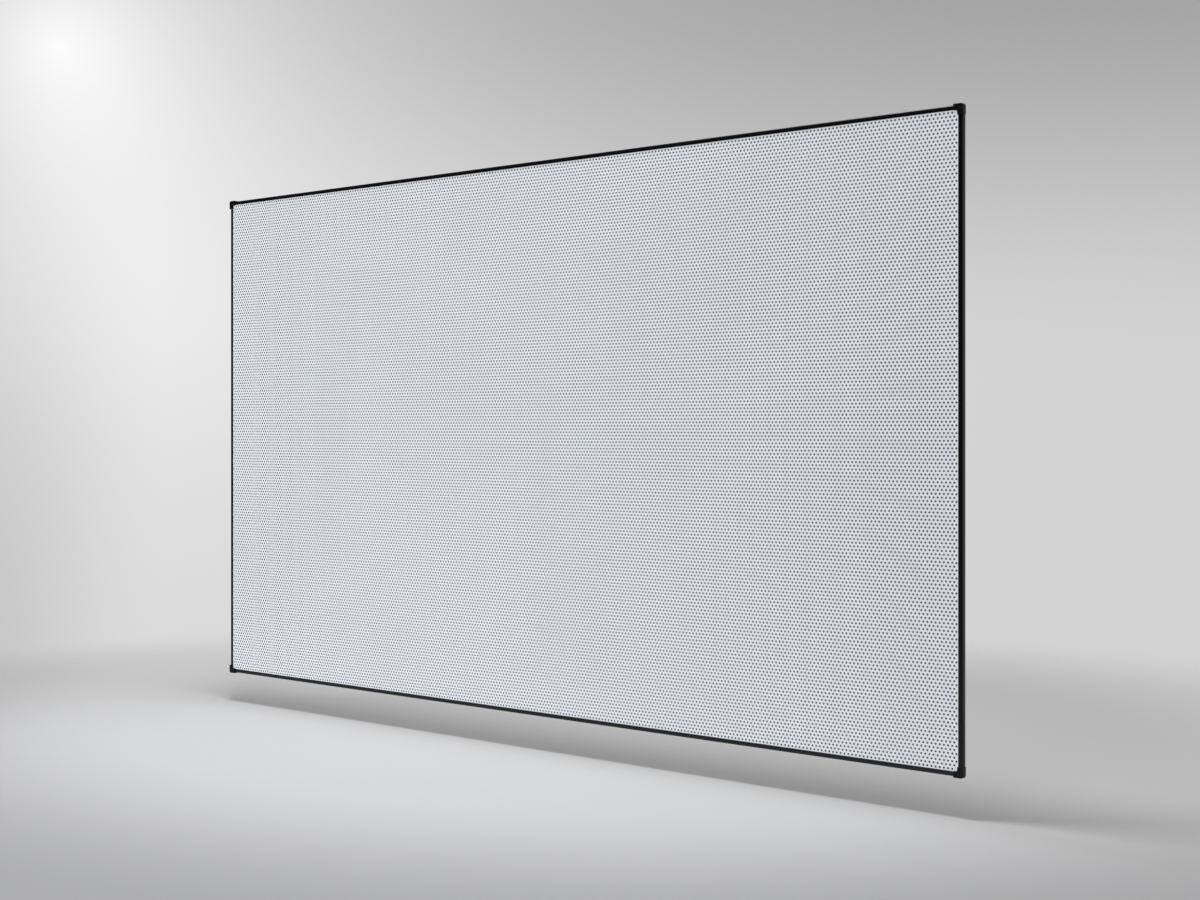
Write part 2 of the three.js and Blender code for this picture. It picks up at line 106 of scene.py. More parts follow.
class Nodes:
    """A node tree, with short ways to add what materials and geometry need most."""

    def __init__(self, tree: Tree) -> None:
        """Keeps the tree that gets the nodes."""
        self.tree = tree

    def node(self, kind: str, inputs: dict | None = None, **settings: object) -> Node:
        """Adds one node with its settings, its values and its links.

        Args:
            kind: The node's Blender type, such as "ShaderNodeMix".
            inputs: Values or output sockets by input name or number.
            settings: Attributes of the node itself.

        Returns:
            The new node.
        """
        node = self.tree.nodes.new(kind)
        for name, value in settings.items():
            setattr(node, name, value)
        for key, value in (inputs or {}).items():
            if isinstance(value, Socket):
                self.tree.links.new(value, node.inputs[key])
            else:
                node.inputs[key].default_value = value
        return node

    def add(self, kind: str, inputs: dict | None = None, **settings: object) -> Socket:
        """Adds a node, as node does, and gives its first output."""
        return self.node(kind, inputs, **settings).outputs[0]

    def maths(self, operation: str, *values: Socket | float) -> Socket:
        """Adds a math node and gives its result."""
        return self.add("ShaderNodeMath", dict(enumerate(values)), operation=operation)

    def measure(self, operation: str, *places: Socket | tuple[float, ...]) -> Socket:
        """Adds a vector math node that gives a length or a distance."""
        inputs = dict(enumerate(places))
        return self.node("ShaderNodeVectorMath", inputs, operation=operation).outputs["Value"]

    def place(self, kind: str = "Object") -> Socket:
        """Adds the surface's own coordinates, or another kind of them."""
        return self.node("ShaderNodeTexCoord").outputs[kind]

    def split(self, vector: Socket) -> bpy.types.NodeOutputs:
        """Splits a vector into outputs named X, Y and Z."""
        return self.node("ShaderNodeSeparateXYZ", {"Vector": vector}).outputs

    def ramp(self, value: Socket, span: tuple[float, ...], curve: str = "SMOOTHSTEP") -> Socket:
        """Maps a value onto a ramp.

        Args:
            value: What is mapped.
            span: Where the ramp starts and stops, then its levels there, which are 0 and 1 if left out.
            curve: The ramp's form, "SMOOTHSTEP" or "LINEAR".

        Returns:
            The mapped value.
        """
        inputs = dict(zip(("From Min", "From Max", "To Min", "To Max"), span))
        return self.add("ShaderNodeMapRange", {"Value": value, **inputs}, interpolation_type=curve)

    def blend(self, share: Socket, first: str, second: str) -> Socket:
        """Mixes two hex colours.

        Args:
            share: The second colour's share, from 0 to 1.
            first: The colour at 0.
            second: The colour at 1.

        Returns:
            The colour.
        """
        inputs = {"Factor": share, "A": linear(first), "B": linear(second)}
        mix = self.node("ShaderNodeMix", inputs, data_type="RGBA")
        return next(socket for socket in mix.outputs if socket.type == "RGBA")


# Meshes


def linked(name: str, data: bpy.types.ID) -> Piece:
    """Makes an object at the origin and links it to the scene.

    Args:
        name: The object's name.
        data: Its mesh, lamp or camera.

    Returns:
        The object.
    """
    piece = bpy.data.objects.new(name, data)
    bpy.context.scene.collection.objects.link(piece)
    return piece


def mesh_object(
    name: str,
    points: list[Vector],
    faces: list[tuple[int, ...]],
    edges: list[tuple[int, int]] | None = None,
) -> Piece:
    """Makes a mesh object from points in metres.

    Args:
        name: The piece's name.
        points: Vertex places in the shared frame.
        faces: Vertex numbers of each face.
        edges: Vertex numbers of each edge that has no face.

    Returns:
        The linked object.
    """
    mesh = bpy.data.meshes.new(name)
    mesh.from_pydata([tuple(p) for p in points], edges or [], faces)
    mesh.update()
    return linked(name, mesh)


def made_plain(piece: Piece) -> Piece:
    """Turns a piece's evaluated modifiers into a plain mesh and removes them.

    Args:
        piece: The object with live modifiers.

    Returns:
        The same object with its final mesh.
    """
    graph = bpy.context.evaluated_depsgraph_get()
    mesh = bpy.data.meshes.new_from_object(piece.evaluated_get(graph), depsgraph=graph)
    piece.modifiers.clear()
    old = piece.data
    piece.data = mesh
    mesh.name = piece.name
    bpy.data.meshes.remove(old)
    return piece


def facing_out(piece: Piece) -> Piece:
    """Merges doubles and turns the faces of a closed piece outwards.

    Args:
        piece: A closed mesh.

    Returns:
        The same object.
    """
    work = bmesh.new()
    work.from_mesh(piece.data)
    bmesh.ops.remove_doubles(work, verts=work.verts, dist=DOUBLES_GAP)
    bmesh.ops.recalc_face_normals(work, faces=work.faces)
    work.to_mesh(piece.data)
    work.free()
    return piece


def shade(piece: Piece, degrees: float) -> Piece:
    """Shades a piece smooth, apart from edges sharper than an angle.

    Args:
        piece: The mesh object.
        degrees: The angle from which an edge stays sharp.

    Returns:
        The same object.
    """
    piece.data.shade_smooth()
    piece.data.set_sharp_from_angle(angle=math.radians(degrees))
    return piece


def arc(centre: tuple[float, float], radius: float, start: float, stop: float, steps: int) -> Loop:
    """Points on an arc in a section.

    Args:
        centre: Its centre (u, d).
        radius: Its radius.
        start: First angle in degrees.
        stop: Last angle in degrees.
        steps: Number of pieces.

    Returns:
        The points, both ends included.
    """
    turns = [math.radians(start + (stop - start) * i / steps) for i in range(steps + 1)]
    return [(centre[0] + radius * math.cos(t), centre[1] + radius * math.sin(t)) for t in turns]


def bearing(point: tuple[float, float]) -> float:
    """The angle of a point about the origin, from 0 to a full turn."""
    return math.atan2(point[1], point[0]) % math.tau


# Finishes


@dataclass(frozen=True)
class Finish:
    """One material: its colours and how light leaves it.

    A finish is a Principled surface whose colour drifts a little over a broad noise and whose height comes
    from a fine one. drift and grain are the sizes of the two in real millimetres, and depth is the height.
    """

    name: str
    dark: str
    light: str
    roughness: float
    metallic: float = 0.0
    ior: float = 1.5
    drift: float = 120.0
    grain: float = 1.2
    depth: float = 0.02
    rough_spread: float = 0.06
    specular: float = 0.5
    coat: float = 0.0
    sheen: float = 0.0

    BROAD_DETAIL = 3.0
    FINE_DETAIL = 2.0

    def noise(self, nodes: Nodes, size: float, detail: float) -> Socket:
        """Adds noise of a real size.

        Args:
            nodes: The material's nodes.
            size: Feature size in millimetres.
            detail: Octaves of finer noise.

        Returns:
            The noise's value, from 0 to 1.
        """
        inputs = {"Vector": nodes.place(), "Scale": 1 / (size * MM), "Detail": detail}
        return nodes.add("ShaderNodeTexNoise", inputs)

    def relief(self, nodes: Nodes) -> Socket:
        """The surface's height pattern, from 0 to 1."""
        return self.noise(nodes, self.grain, self.FINE_DETAIL)

    def lightness(self, nodes: Nodes, broad: Socket, height: Socket) -> Socket:
        """The light colour's share: here it only follows the broad noise."""
        return broad

    def make(self) -> Material:
        """Builds the material, with its even numbers set on the shader itself.

        Returns:
            The finished material.
        """
        material = bpy.data.materials.new(self.name)
        material.use_nodes = True
        nodes = Nodes(material.node_tree)
        shader = material.node_tree.nodes["Principled BSDF"].inputs
        shader["Metallic"].default_value = self.metallic
        shader["IOR"].default_value = self.ior
        shader["Specular IOR Level"].default_value = self.specular
        shader["Coat Weight"].default_value = self.coat
        shader["Sheen Weight"].default_value = self.sheen
        broad = self.noise(nodes, self.drift, self.BROAD_DETAIL)
        height = self.relief(nodes)
        levels = (self.roughness - self.rough_spread, self.roughness + self.rough_spread)
        bump = {"Height": height, "Strength": 1.0, "Distance": self.depth * MM}
        drifting = {
            "Base Color": nodes.blend(self.lightness(nodes, broad, height), self.dark, self.light),
            "Roughness": nodes.ramp(broad, (0.0, 1.0, *levels), "LINEAR"),
            "Normal": nodes.add("ShaderNodeBump", bump),
        }
        for name, value in drifting.items():
            nodes.tree.links.new(value, shader[name])
        return material


@dataclass(frozen=True)
class WovenFinish(Finish):
    """Woven cloth: threads over and under each other, thread millimetres apart."""

    thread: float = 1.4

    def relief(self, nodes: Nodes) -> Socket:
        """The height of two crossing sets of threads.

        Args:
            nodes: The material's nodes.

        Returns:
            The height, from 0 to 1.
        """
        parts = nodes.split(nodes.place())
        wave = math.pi / (self.thread * MM)
        sines = [nodes.maths("SINE", nodes.maths("MULTIPLY", parts[axis], wave)) for axis in "XZ"]
        return nodes.ramp(nodes.maths("MULTIPLY", *sines), (-1.0, 1.0), "LINEAR")

    def lightness(self, nodes: Nodes, broad: Socket, height: Socket) -> Socket:
        """The light colour's share: raised threads are painted lighter and the hollows between them painted
        darker, as painted light and shade, more so in some places.
        """
        # Painted shade: the weave's height darkens the colour in the hollows between the threads
        return nodes.maths("MULTIPLY", height, broad)


class Palette:
    """Every finish of the screen, each made once."""

    FINISHES = {
        # Black anodised aluminium, extruded: satin
        "trim_anodised": Finish(
            "anodised_aluminium", "060608", "0b0b0d", 0.34, metallic=0.2, drift=60, grain=0.5, depth=0.01,
            rough_spread=0.05,
        ),
        # Black powder coat on aluminium: even, with a soft orange peel
        "rail_black": Finish(
            "powder_coated_aluminium", "121315", "1a1b1d", 0.45, drift=90, grain=1.6, depth=0.03,
        ),
        # Moulded ABS, spark-eroded mould: dull black with a fine even grain
        "cap_plastic": Finish(
            "moulded_abs", "040405", "080809", 0.5, drift=14, grain=0.35, depth=0.03, specular=0.3,
        ),
        # White PVC screen film, calendered and embossed: matt, faintly cool
        "sheet_vinyl": Finish(
            "matt_white_pvc_film", "e6ebf2", "eff3f8", 0.72, ior=1.45, drift=420, grain=0.8, depth=0.012,
            rough_spread=0.03,
        ),
        # Black polyester backing cloth, plain weave, with the faint sheen of its fibres
        "cloth_black": WovenFinish(
            "woven_black_polyester", "050506", "111114", 0.85, drift=240, depth=0.25, specular=0.25,
            sheen=0.08, thread=1.6,
        ),
        # Drawn glass fibre in resin: pale and glossy, under a thin skin of clear resin
        "rod_glass_fibre": Finish(
            "drawn_glass_fibre", "c9c1a0", "e2dcc4", 0.3, drift=18, grain=0.8, depth=0.02, coat=0.3,
        ),
        # Bright zinc plate on pressed steel: blue-grey, lightly mottled
        "plate_zinc": Finish(
            "bright_zinc_plated_steel", "8f949a", "b4b8bd", 0.33, metallic=1.0, drift=9, grain=0.7,
            depth=0.01,
        ),
        # Black oxide on machined steel: dark, low gloss
        "screw_steel": Finish(
            "black_oxide_steel", "1c1d20", "2b2c30", 0.36, metallic=0.8, drift=3, grain=0.3, depth=0.008,
        ),
        # Black powder coat on bent steel plate
        "bracket_steel": Finish(
            "powder_coated_steel", "161719", "1f2022", 0.5, drift=40, grain=1.1, depth=0.04,
        ),
        # Moulded nylon: dark, slightly waxy
        "shoe_nylon": Finish("moulded_nylon", "121213", "19191a", 0.5, drift=20, grain=0.6, depth=0.02),
        # Moulded rubber: dull black
        "bumper_rubber": Finish("moulded_rubber", "151515", "1e1e1e", 0.8, drift=16, grain=0.5, depth=0.03),
    }
    # Nickel-plated music wire: bright, thin and drawn; it shares the plates' slot
    SPRING_WIRE = Finish(
        "drawn_spring_steel", "9a9ca0", "c4c6ca", 0.28, metallic=1.0, drift=4, grain=0.4, depth=0.005,
    )

    def __init__(self) -> None:
        """Makes the materials."""
        self.made = {slot: finish.make() for slot, finish in self.FINISHES.items()}
        self.spring_wire = self.SPRING_WIRE.make()

    def __getitem__(self, slot: str) -> Material:
        """The material of a record slot."""
        return self.made[slot]


# The screen's own sizes


@dataclass(frozen=True)
class Sizes:
    """Driving sizes that the dressed pieces share with the solids, in millimetres."""

    bezel_face: float = 9.5
    bezel_depth: float = 12.0
    bezel_lip: float = 1.3
    bezel_wall: float = 1.5
    bezel_hook: float = 1.0
    fit: float = 0.3
    sheet: float = 0.5
    cloth: float = 0.4
    nose_width: float = 13.5
    channel_width: float = 30.0
    rib: float = 2.0
    rod_radius: float = 1.75
    hem_slack: float = 0.35
    hem_to_nose: float = 3.7
    corner_notch: float = 30.0

    @property
    def width(self) -> float:
        """Outer width of the trim, read from the frame."""
        return (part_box("bezel_right")[1].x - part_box("bezel_left")[0].x) / MM

    @property
    def height(self) -> float:
        """Outer height of the trim, read from the frame."""
        return (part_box("bezel_top")[1].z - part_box("bezel_bottom")[0].z) / MM

    @property
    def front(self) -> float:
        """Y of the trim's front face, in millimetres."""
        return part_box("bezel_top")[0].y / MM

    @property
    def sheet_d(self) -> float:
        """Depth of the sheet's front."""
        return self.bezel_lip + self.fit

    @property
    def cloth_d(self) -> float:
        """Depth of the backing cloth's front."""
        return self.sheet_d + self.sheet + self.fit

    @property
    def return_d(self) -> float:
        """Depth of the sheet where it returns behind the rail's nose."""
        return self.bezel_depth - self.bezel_hook - self.fit - self.sheet

    @property
    def sheet_u(self) -> float:
        """Place of the fold's outer face."""
        return self.bezel_wall + self.fit

    @property
    def nose_u(self) -> float:
        """Place of the rail nose's outer face."""
        return self.sheet_u + self.sheet + self.fit

    @property
    def channel_u(self) -> float:
        """Place where the rail's channel starts."""
        return self.nose_u + self.nose_width

    @property
    def rib_u(self) -> float:
        """Place of the rib's outer face."""
        return self.channel_u + self.channel_width

    @property
    def hem_radius(self) -> float:
        """Outer radius of the hem round a tension rod."""
        return self.rod_radius + self.hem_slack + self.sheet

    @property
    def rod_u(self) -> float:
        """Place of a tension rod's axis."""
        return self.channel_u + self.hem_to_nose + self.hem_radius

    @property
    def rod_d(self) -> float:
        """Depth of a tension rod's axis."""
        return self.return_d + self.sheet - self.hem_radius

    def length(self, side: Side) -> float:
        """Outer length of an edge."""
        return self.width if side.level else self.height

    def point(self, side: Side, s: float, u: float, d: float) -> Vector:
        """Place of a point on an edge.

        Args:
            side: The edge.
            s: Distance along it from its middle.
            u: Distance inwards.
            d: Depth behind the trim's front.

        Returns:
            The point in metres, in the shared frame.
        """
        offset = (self.height if side.level else self.width) / 2
        at_top = Vector((s, self.front + d, offset - u)) * MM
        return Matrix.Rotation(math.radians(90 * side.value), 3, "Y") @ at_top


@dataclass(frozen=True)
class Stations:
    """Where the tension springs stand along an edge, as in the solids."""

    sizes: Sizes
    pitch: float = 150.0
    splice_length: float = 120.0
    bracket_leg: float = 110.0
    clear: float = 20.0

    def runs(self, side: Side) -> list[tuple[float, float, int]]:
        """The even runs that the springs make.

        Args:
            side: The edge.

        Returns:
            Start, step and count of each run.
        """
        end = self.sizes.length(side) / 2 - self.bracket_leg - self.clear
        start = self.splice_length / 2 + self.clear if side.level else -end
        bays = max(1, round((end - start) / self.pitch))
        step = (end - start) / bays
        right = (start, step, bays + 1)
        return [(-end, step, bays + 1), right] if side.level else [right]

    def of(self, side: Side) -> list[float]:
        """Every spring's distance from the middle of an edge, in order."""
        return [start + step * i for start, step, count in self.runs(side) for i in range(count)]


# Geometry trees


class GeometryTree(Nodes):
    """A geometry node tree with named inputs, built in the script."""

    def __init__(self, name: str, inputs: dict[str, str]) -> None:
        """Starts the tree.

        Args:
            name: The tree's name.
            inputs: The kind of each input, such as "Float", by name, apart from the geometry and the
                material that every tree takes.
        """
        super().__init__(bpy.data.node_groups.new(name, "GeometryNodeTree"))
        face = self.tree.interface
        face.new_socket("Geometry", in_out="INPUT", socket_type="NodeSocketGeometry")
        self.keys = {
            label: face.new_socket(label, in_out="INPUT", socket_type=f"NodeSocket{kind}").identifier
            for label, kind in {**inputs, "Material": "Material"}.items()
        }
        face.new_socket("Geometry", in_out="OUTPUT", socket_type="NodeSocketGeometry")
        self.given = self.tree.nodes.new("NodeGroupInput").outputs

    def vector(self, **parts: Socket) -> Socket:
        """Makes a vector of the parts X, Y and Z, each 0 if left out."""
        return self.add("ShaderNodeCombineXYZ", parts)

    def line(self, count: Socket, start: Socket, step: Socket) -> Socket:
        """Adds a row of points."""
        return self.add("GeometryNodeMeshLine", {"Count": count, "Start Location": start, "Offset": step})

    def copies(self, points: Socket, shape: Socket) -> Socket:
        """Sets a copy of a shape on every point."""
        return self.add("GeometryNodeInstanceOnPoints", {"Points": points, "Instance": shape})

    def moved(self, shape: Socket, **change: Socket | tuple[float, ...]) -> Socket:
        """Moves a shape by its Translation or Rotation."""
        return self.add("GeometryNodeTransform", {"Geometry": shape, **change})

    def joined(self, *shapes: Socket) -> Socket:
        """Joins shapes into one.

        Args:
            shapes: The shapes in order.

        Returns:
            All of them.
        """
        whole = self.node("GeometryNodeJoinGeometry")
        for shape in shapes:
            self.tree.links.new(shape, whole.inputs[0])
        return whole.outputs[0]

    def close(self, geometry: Socket) -> None:
        """Ends the tree in Realize Instances, welding and Set Material.

        Args:
            geometry: What the tree has made.
        """
        real = self.add("GeometryNodeRealizeInstances", {"Geometry": geometry})
        welded = self.add("GeometryNodeMergeByDistance", {"Geometry": real, "Distance": WELD_GAP})
        dressing = {"Geometry": welded, "Material": self.given["Material"]}
        self.node("NodeGroupOutput", {0: self.add("GeometryNodeSetMaterial", dressing)})

    def run(self, piece: Piece, values: dict[str, object]) -> Piece:
        """Runs the tree on a piece and makes the result plain.

        Args:
            piece: The object whose mesh the tree starts from.
            values: A value for each named input.

        Returns:
            The same object with the tree's result.
        """
        modifier = piece.modifiers.new(self.tree.name, "NODES")
        modifier.node_group = self.tree
        for label, value in values.items():
            modifier[self.keys[label]] = value
        return made_plain(piece)


# Sub-assemblies


@dataclass
class SubAssembly:
    """What every sub-assembly has: the screen's sizes, the finishes, and ways to make and dress a piece."""

    sizes: Sizes
    palette: Palette

    # Edges sharper than this, in degrees, stay sharp where a piece is shaded smooth
    CREASE = 40.0

    def settle(self, piece: Piece, slot: str, *nodes: str, finish: Material | None = None) -> Piece:
        """Gives a finished piece its material, lets it ride, hides the CAD nodes it stands for, and logs it.

        Args:
            piece: The finished object.
            slot: The record's material slot.
            nodes: CAD nodes that the piece replaces.
            finish: A material other than the slot's own.

        Returns:
            The same object.
        """
        piece.data.materials.clear()
        piece.data.materials.append(finish or self.palette[slot])
        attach(piece, "root")
        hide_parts(*nodes)
        LOG.info("%s: %d faces, %s", piece.name, len(piece.data.polygons), slot)
        return piece

    def sweep(self, name: str, side: Side, loops: list[Loop], reach: float) -> Piece:
        """Runs a closed section along an edge, with its ends filled.

        Args:
            name: The piece's name.
            side: The edge.
            loops: The outline, then any holes, as (u, d) points.
            reach: Distance of both ends from the edge's middle.

        Returns:
            The closed piece.
        """
        work = bmesh.new()
        for end in (-reach, reach):
            edges = []
            for loop in loops:
                ring = [work.verts.new(self.sizes.point(side, end, u, d)) for u, d in loop]
                edges += [work.edges.new((ring[i - 1], ring[i])) for i in range(len(ring))]
            bmesh.ops.triangle_fill(work, use_beauty=True, edges=edges)
        work.verts.ensure_lookup_table()
        count = sum(len(loop) for loop in loops)
        first = 0
        for loop in loops:
            for i in range(len(loop)):
                a, b = first + i, first + (i + 1) % len(loop)
                work.faces.new([work.verts[k] for k in (a, b, b + count, a + count)])
            first += len(loop)
        bmesh.ops.recalc_face_normals(work, faces=work.faces)
        mesh = bpy.data.meshes.new(name)
        work.to_mesh(mesh)
        work.free()
        return linked(name, mesh)


@dataclass
class BezelTrim(SubAssembly):
    """The four straight extrusions that frame the picture."""

    edge_round: float = 3.0
    round_steps: int = 14
    outer_band: float = 5.0
    step: float = 0.5
    side_band: float = 7.2
    hook_reach: float = 5.5
    cap_lip: float = 1.0
    nick: float = 0.18

    CREASE = 25.0

    def section(self) -> Loop:
        """The trim's outline: a rounded outer edge, a stepped face, and a hook behind.

        Returns:
            The outline as (u, d) points.
        """
        z, nick = self.sizes, self.nick
        hook_d = z.bezel_depth - z.bezel_hook
        return [
            *arc((self.edge_round, self.edge_round), self.edge_round, 180, 270, self.round_steps),
            (self.outer_band - nick, 0),
            (self.outer_band, nick),
            (self.outer_band, self.step),
            (z.bezel_face - nick, self.step),
            (z.bezel_face, self.step + nick),
            (z.bezel_face, z.bezel_lip),
            (z.bezel_wall, z.bezel_lip),
            (z.bezel_wall, hook_d),
            (self.hook_reach, hook_d),
            (self.hook_reach, z.bezel_depth - nick),
            (self.hook_reach - nick, z.bezel_depth),
            (self.step + nick, z.bezel_depth),
            (self.step, z.bezel_depth - nick),
            (self.step, self.side_band),
            (nick, self.side_band),
            (0, self.side_band - nick),
        ]

    def build(self) -> list[Piece]:
        """Builds and dresses the four trims.

        Returns:
            The pieces.
        """
        made = []
        under_cap = self.sizes.bezel_face + 2 * self.sizes.fit + self.cap_lip / 2
        for side in Side:
            reach = self.sizes.length(side) / 2 - under_cap
            piece = shade(self.sweep(f"trim_{side.word}", side, [self.section()], reach), self.CREASE)
            made.append(self.settle(piece, "trim_anodised", f"bezel_{side.word}"))
        return made


@dataclass
class PerforatedSheet(SubAssembly):
    """The projection sheet: a perforated field in bands, a plain margin, and folded flaps with hems.

    The holes of a row stand hole_pitch apart and every second row is moved by half of it. This follows the
    photograph, which is coarser than the holes of a real cinema screen.
    """

    stations: Stations
    columns: int = 247
    rows: int = 173
    bands: int = 4
    row_pitch: float = 7.19
    hole_radius: float = 2.12
    hole_sides: int = 10
    under_trim: float = 0.2
    fold: float = 1.2
    fold_steps: int = 6
    hem_steps: int = 28
    bore_steps: int = 24
    slot_width: float = 8.0
    slot_slack: float = 1.0

    # Edges this many hole radii round a hole's middle are its rim
    RIM_REACH = 1.05

    @property
    def hole_pitch(self) -> float:
        """Distance between the holes of a row: the cells just pass under the trim on both sides."""
        return (self.sizes.width - 2 * self.sizes.bezel_face + 2 * self.under_trim) / self.columns

    @property
    def field_height(self) -> float:
        """Height of the perforated field."""
        return self.rows * self.row_pitch

    @property
    def front_y(self) -> float:
        """Y of the sheet's front face."""
        return self.sizes.front + self.sizes.sheet_d

    def row_start(self, row: int) -> tuple[float, float, float]:
        """The middle of a row in metres, counted from 0 at the top."""
        return 0.0, self.front_y * MM, (self.field_height / 2 - (row + 0.5) * self.row_pitch) * MM

    def cell(self, name: str) -> Piece:
        """One cell of the lattice: a flat brick with a hole in its middle.

        Args:
            name: The piece's name.

        Returns:
            The cell, centred on the origin and facing -Y.
        """
        half, rise = self.hole_pitch / 2, self.row_pitch / 2
        rim = [(x, z) for x in (half, 0.0, -half) for z in (-rise, rise)]
        turns = [math.tau / self.hole_sides * (i + 0.5) for i in range(self.hole_sides)]
        hole = [(self.hole_radius * math.cos(t), self.hole_radius * math.sin(t)) for t in turns]
        rim.sort(key=bearing)
        hole.sort(key=bearing)
        points = [Vector((x, 0, z)) * MM for x, z in rim + hole]
        outer, inner = len(rim), len(hole)
        rim_turns, hole_turns = ([bearing(p) for p in loop[1:] + loop[:1]] for loop in (rim, hole))
        rim_turns[-1] += math.tau
        hole_turns[-1] += math.tau
        faces, i, j = [], 0, 0
        while i < outer or j < inner:
            a, b = i % outer, outer + j % inner
            if j == inner or (i < outer and rim_turns[i] <= hole_turns[j]):
                faces.append((a, (i + 1) % outer, b))
                i += 1
            else:
                faces.append((a, outer + (j + 1) % inner, b))
                j += 1
        return mesh_object(name, points, faces)

    def lattice(self) -> GeometryTree:
        """The tree that repeats the cell over a band, with half cells at the ends of the moved rows.

        Returns:
            The tree.
        """
        kinds = {"Columns": "Int", "Hole pitch": "Float", "Row pitch": "Float"}
        for word in ("Full", "Moved"):
            kinds |= {f"{word} rows": "Int", f"{word} row start": "Vector"}
        geo = GeometryTree("perforation_lattice", kinds)
        given = geo.given
        row_step = geo.vector(Z=geo.maths("MULTIPLY", given["Row pitch"], -2.0))
        hole_step = geo.vector(X=given["Hole pitch"])
        strips = []
        for word, fewer in (("Full", 0.0), ("Moved", 1.0)):
            count = geo.maths("SUBTRACT", given["Columns"], fewer)
            width = geo.maths("MULTIPLY", geo.maths("SUBTRACT", count, 1.0), given["Hole pitch"])
            left = geo.vector(X=geo.maths("MULTIPLY", width, -0.5))
            row = geo.copies(geo.line(count, left, hole_step), given["Geometry"])
            if fewer:
                row = self.with_half_cells(geo, row)
            starts = geo.line(given[f"{word} rows"], given[f"{word} row start"], row_step)
            strips.append(geo.copies(starts, row))
        geo.close(geo.joined(*strips))
        return geo

    def with_half_cells(self, geo: GeometryTree, row: Socket) -> Socket:
        """Adds the plain half cells that fill a moved row's two ends.

        Args:
            geo: The tree.
            row: The row's cells.

        Returns:
            The row with both ends.
        """
        given = geo.given
        half = geo.maths("MULTIPLY", given["Hole pitch"], 0.5)
        grid = {"Size X": half, "Size Y": given["Row pitch"], "Vertices X": 2, "Vertices Y": 2}
        upright = geo.moved(geo.add("GeometryNodeMeshGrid", grid), Rotation=(math.pi / 2, 0.0, 0.0))
        bare = geo.add("GeometryNodeRemoveAttribute", {"Geometry": upright, "Name": "UVMap"})
        reach = geo.maths("MULTIPLY", geo.maths("SUBTRACT", given["Columns"], 0.5), half)
        places = [geo.vector(X=geo.maths("MULTIPLY", reach, sign)) for sign in (-1.0, 1.0)]
        return geo.joined(row, *(geo.moved(bare, Translation=place) for place in places))

    def band(self, geo: GeometryTree, number: int) -> Piece:
        """One band of the perforated field.

        Args:
            geo: The lattice tree.
            number: 0 for the top band.

        Returns:
            The band, dressed.
        """
        first, last = (round(n * self.rows / self.bands) for n in (number, number + 1))
        full, moved = ([r for r in range(first, last) if r % 2 == odd] for odd in (0, 1))
        piece = self.cell(f"sheet_field_{number + 1}")
        values = {
            "Columns": self.columns,
            "Full rows": len(full),
            "Full row start": self.row_start(full[0]),
            "Moved rows": len(moved),
            "Moved row start": self.row_start(moved[0]),
            "Hole pitch": self.hole_pitch * MM,
            "Row pitch": self.row_pitch * MM,
            "Material": self.palette["sheet_vinyl"],
        }
        geo.run(piece, values)
        if number in (0, self.bands - 1):
            self.fill_corner_holes(piece)
        return self.settle(piece, "sheet_vinyl", "projection_sheet")

    def fill_corner_holes(self, piece: Piece) -> None:
        """Closes the outermost holes of the sheet's first or last row, which the corners leave out.

        Args:
            piece: The top or the bottom band.
        """
        corner_x = (self.columns - 1) / 2 * self.hole_pitch * MM
        corner_z = (self.rows - 1) / 2 * self.row_pitch * MM
        near = self.hole_radius * self.RIM_REACH * MM
        work = bmesh.new()
        work.from_mesh(piece.data)
        rims = []
        for edge in work.edges:
            away = [math.hypot(abs(v.co.x) - corner_x, abs(v.co.z) - corner_z) for v in edge.verts]
            if edge.is_boundary and max(away) < near:
                rims.append(edge)
        filled = bmesh.ops.holes_fill(work, edges=rims, sides=self.hole_sides)["faces"]
        work.normal_update()
        bmesh.ops.reverse_faces(work, faces=[face for face in filled if face.normal.y > 0])
        LOG.info("%s: %d corner holes closed", piece.name, len(filled))
        work.to_mesh(piece.data)
        work.free()

    def margin(self) -> Piece:
        """The plain ring between the holes and the folds.

        Returns:
            The ring, dressed.
        """
        z = self.sizes
        near = z.sheet_u + z.sheet
        outer = (z.width / 2 - near, z.height / 2 - near)
        inner = (self.columns * self.hole_pitch / 2, self.field_height / 2)
        points, faces = [], []
        for y in (self.front_y, self.front_y + z.sheet):
            for half_x, half_z in (outer, inner):
                for sx, sz in ((-1, -1), (1, -1), (1, 1), (-1, 1)):
                    points.append(Vector((sx * half_x, y, sz * half_z)) * MM)
        for i in range(4):
            j = (i + 1) % 4
            faces += [(i, j, 4 + j, 4 + i), (8 + i, 12 + i, 12 + j, 8 + j)]
            faces += [(i, 8 + i, 8 + j, j), (4 + i, 4 + j, 12 + j, 12 + i)]
        piece = facing_out(mesh_object("sheet_margin", points, faces))
        return self.settle(piece, "sheet_vinyl", "projection_sheet")

    def flap_loops(self) -> list[Loop]:
        """The folded flap's outline and the inside of its hem.

        Returns:
            Two loops of (u, d) points.
        """
        z, fold, steps = self.sizes, self.fold, self.fold_steps
        inner = z.hem_radius - z.sheet
        meet = math.degrees(math.asin(inner / z.hem_radius))
        centre = (z.rod_u, z.rod_d)
        front_fold = (z.sheet_u + fold, z.sheet_d + fold)
        back_fold = (z.sheet_u + fold, z.return_d + z.sheet - fold)
        outline = [
            *arc(front_fold, fold, 270, 180, steps),
            *arc(back_fold, fold, 180, 90, steps),
            *arc(centre, z.hem_radius, 90, -(180 + meet), self.hem_steps),
            *arc(back_fold, fold - z.sheet, 90, 180, steps),
            *arc(front_fold, fold - z.sheet, 180, 270, steps),
        ]
        return [outline, arc(centre, inner, 0, 360, self.bore_steps)[:-1]]

